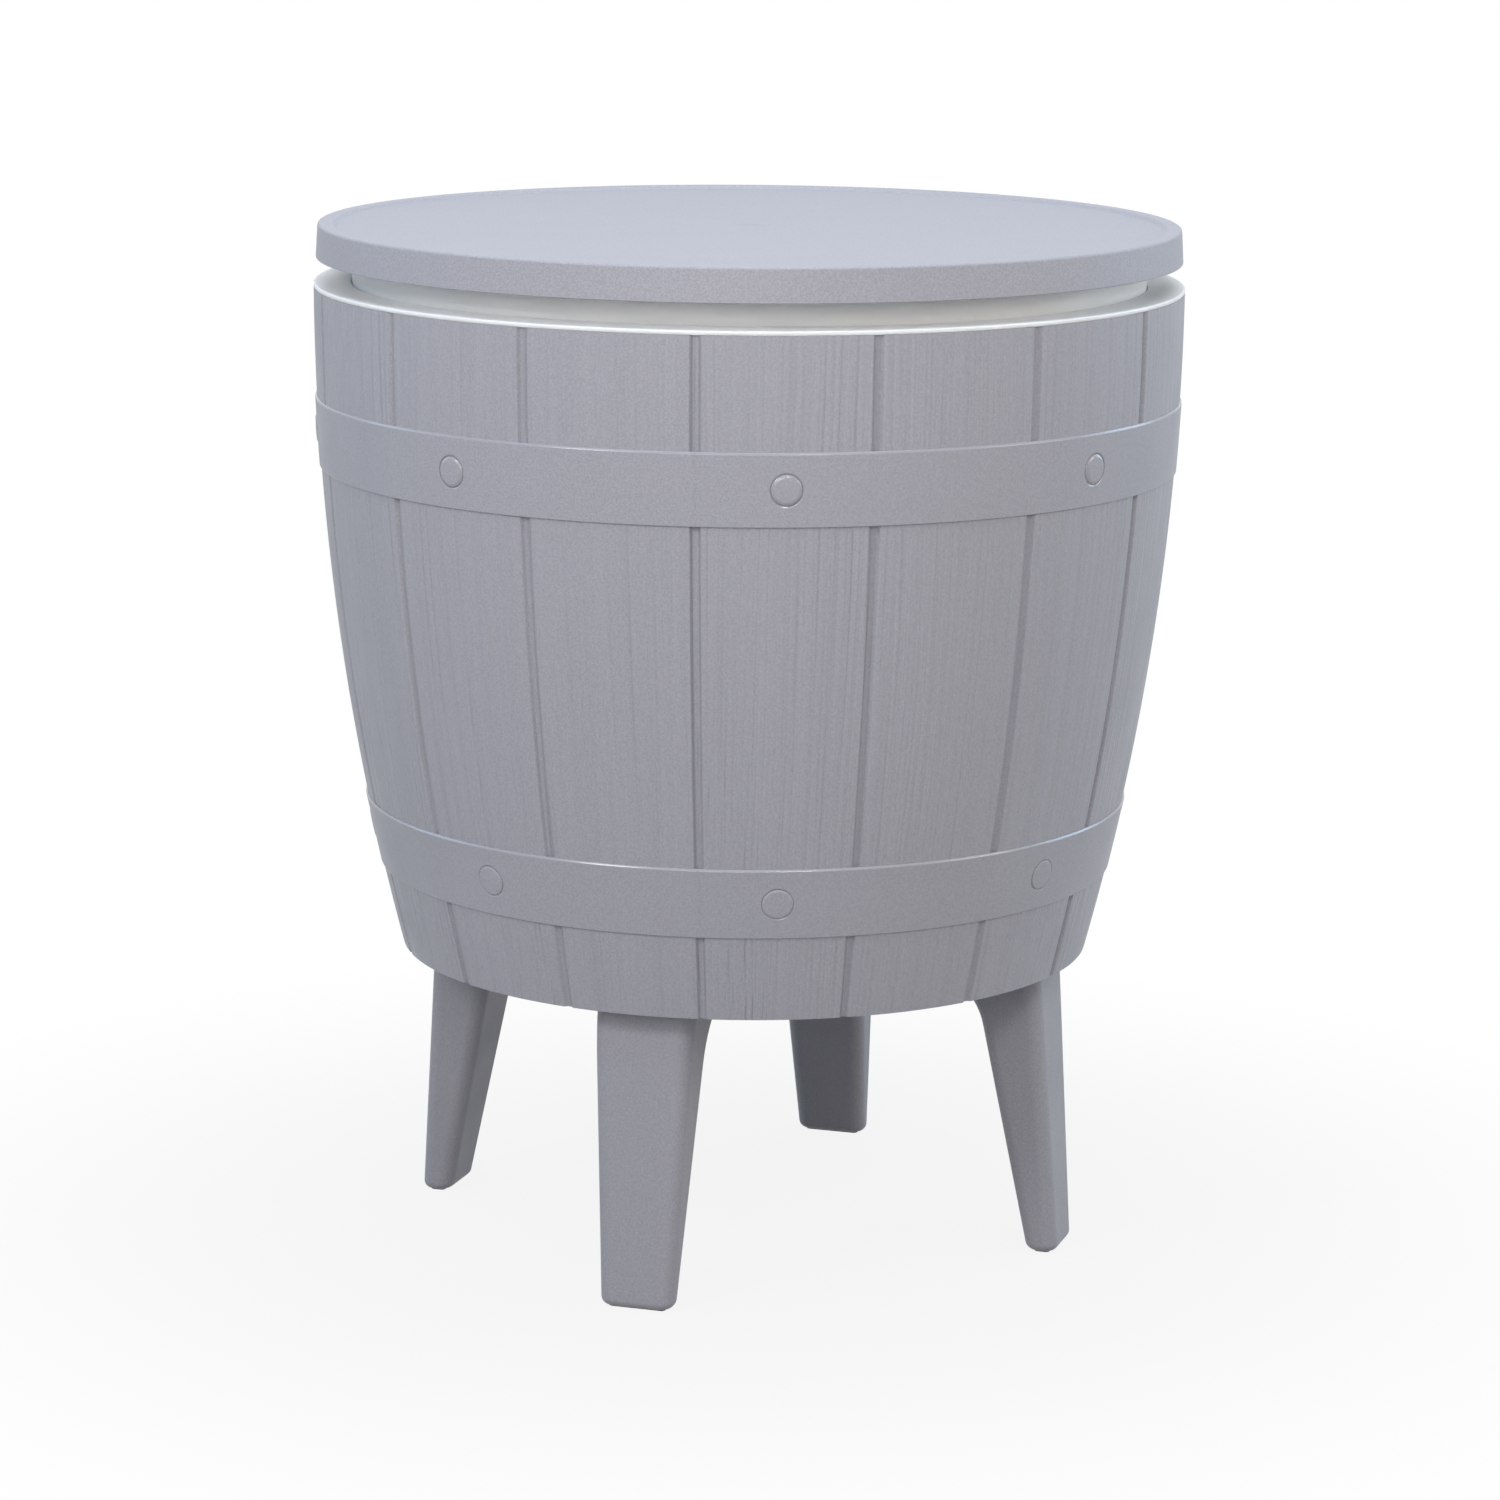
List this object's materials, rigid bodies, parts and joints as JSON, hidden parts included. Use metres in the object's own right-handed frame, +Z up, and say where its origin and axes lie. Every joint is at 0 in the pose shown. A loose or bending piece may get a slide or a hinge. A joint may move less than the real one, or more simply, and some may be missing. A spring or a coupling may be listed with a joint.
{
  "type": "cooler table with lid",
  "caption": "Barrel-shaped plastic ice bucket on four tapered legs, with a round table top that lifts on a telescopic post.",
  "frame": {"origin": "on the floor under the middle of the barrel", "axes": "+Z up along the barrel's axis; -Y to the front, between two legs"},
  "size_m": [0.495, 0.495, 0.5865],
  "materials": {
    "grey_plastic": "moulded polypropylene, fine satin texture",
    "white_plastic": "moulded white polypropylene",
    "foot_rubber": "matt",
    "plug_rubber": "matt",
    "screw_steel": "zinc plated",
    "tube_aluminium": "drawn, satin anodised",
    "post_nylon": "moulded nylon"
  },
  "bodies": {
    "barrel": {"barrel_shell": "grey_plastic", "ice_bucket": "white_plastic", "leg_front_left": "grey_plastic", "leg_front_right": "grey_plastic", "leg_back_left": "grey_plastic", "leg_back_right": "grey_plastic", "foot_pad_front_left": "foot_rubber", "foot_pad_front_right": "foot_rubber", "foot_pad_back_left": "foot_rubber", "foot_pad_back_right": "foot_rubber", "leg_screws": "screw_steel", "post_outer_tube": "tube_aluminium", "post_base_plug": "post_nylon", "post_base_screw": "screw_steel", "post_collar": "post_nylon"},
    "lock_slide": {"lock_collar": "post_nylon"},
    "lid": {"tabletop": "grey_plastic", "lid_underside": "white_plastic", "lid_screws": "screw_steel", "post_inner_tube": "tube_aluminium", "post_head_flange": "post_nylon", "post_head_pin": "screw_steel", "head_flange_screws": "screw_steel", "lock_core": "post_nylon", "lock_washer": "screw_steel", "lock_screw": "screw_steel"},
    "drain_plug": {"drain_plug": "plug_rubber"}
  },
  "joints": [
    {"name": "lid_lift", "type": "slide", "parent": "barrel", "child": "lock_slide", "axis": [0, 0, 1], "range_m": [0, 0.255]},
    {"name": "lid_turn", "type": "hinge", "parent": "lock_slide", "child": "lid", "pos_m": [0, 0, 0.2185], "axis": [0, 0, 1], "range_deg": [0, 90]},
    {"name": "drain_plug_pull", "type": "slide", "parent": "barrel", "child": "drain_plug", "axis": [0, 0, -1], "range_m": [0, 0.05]}
  ]
}
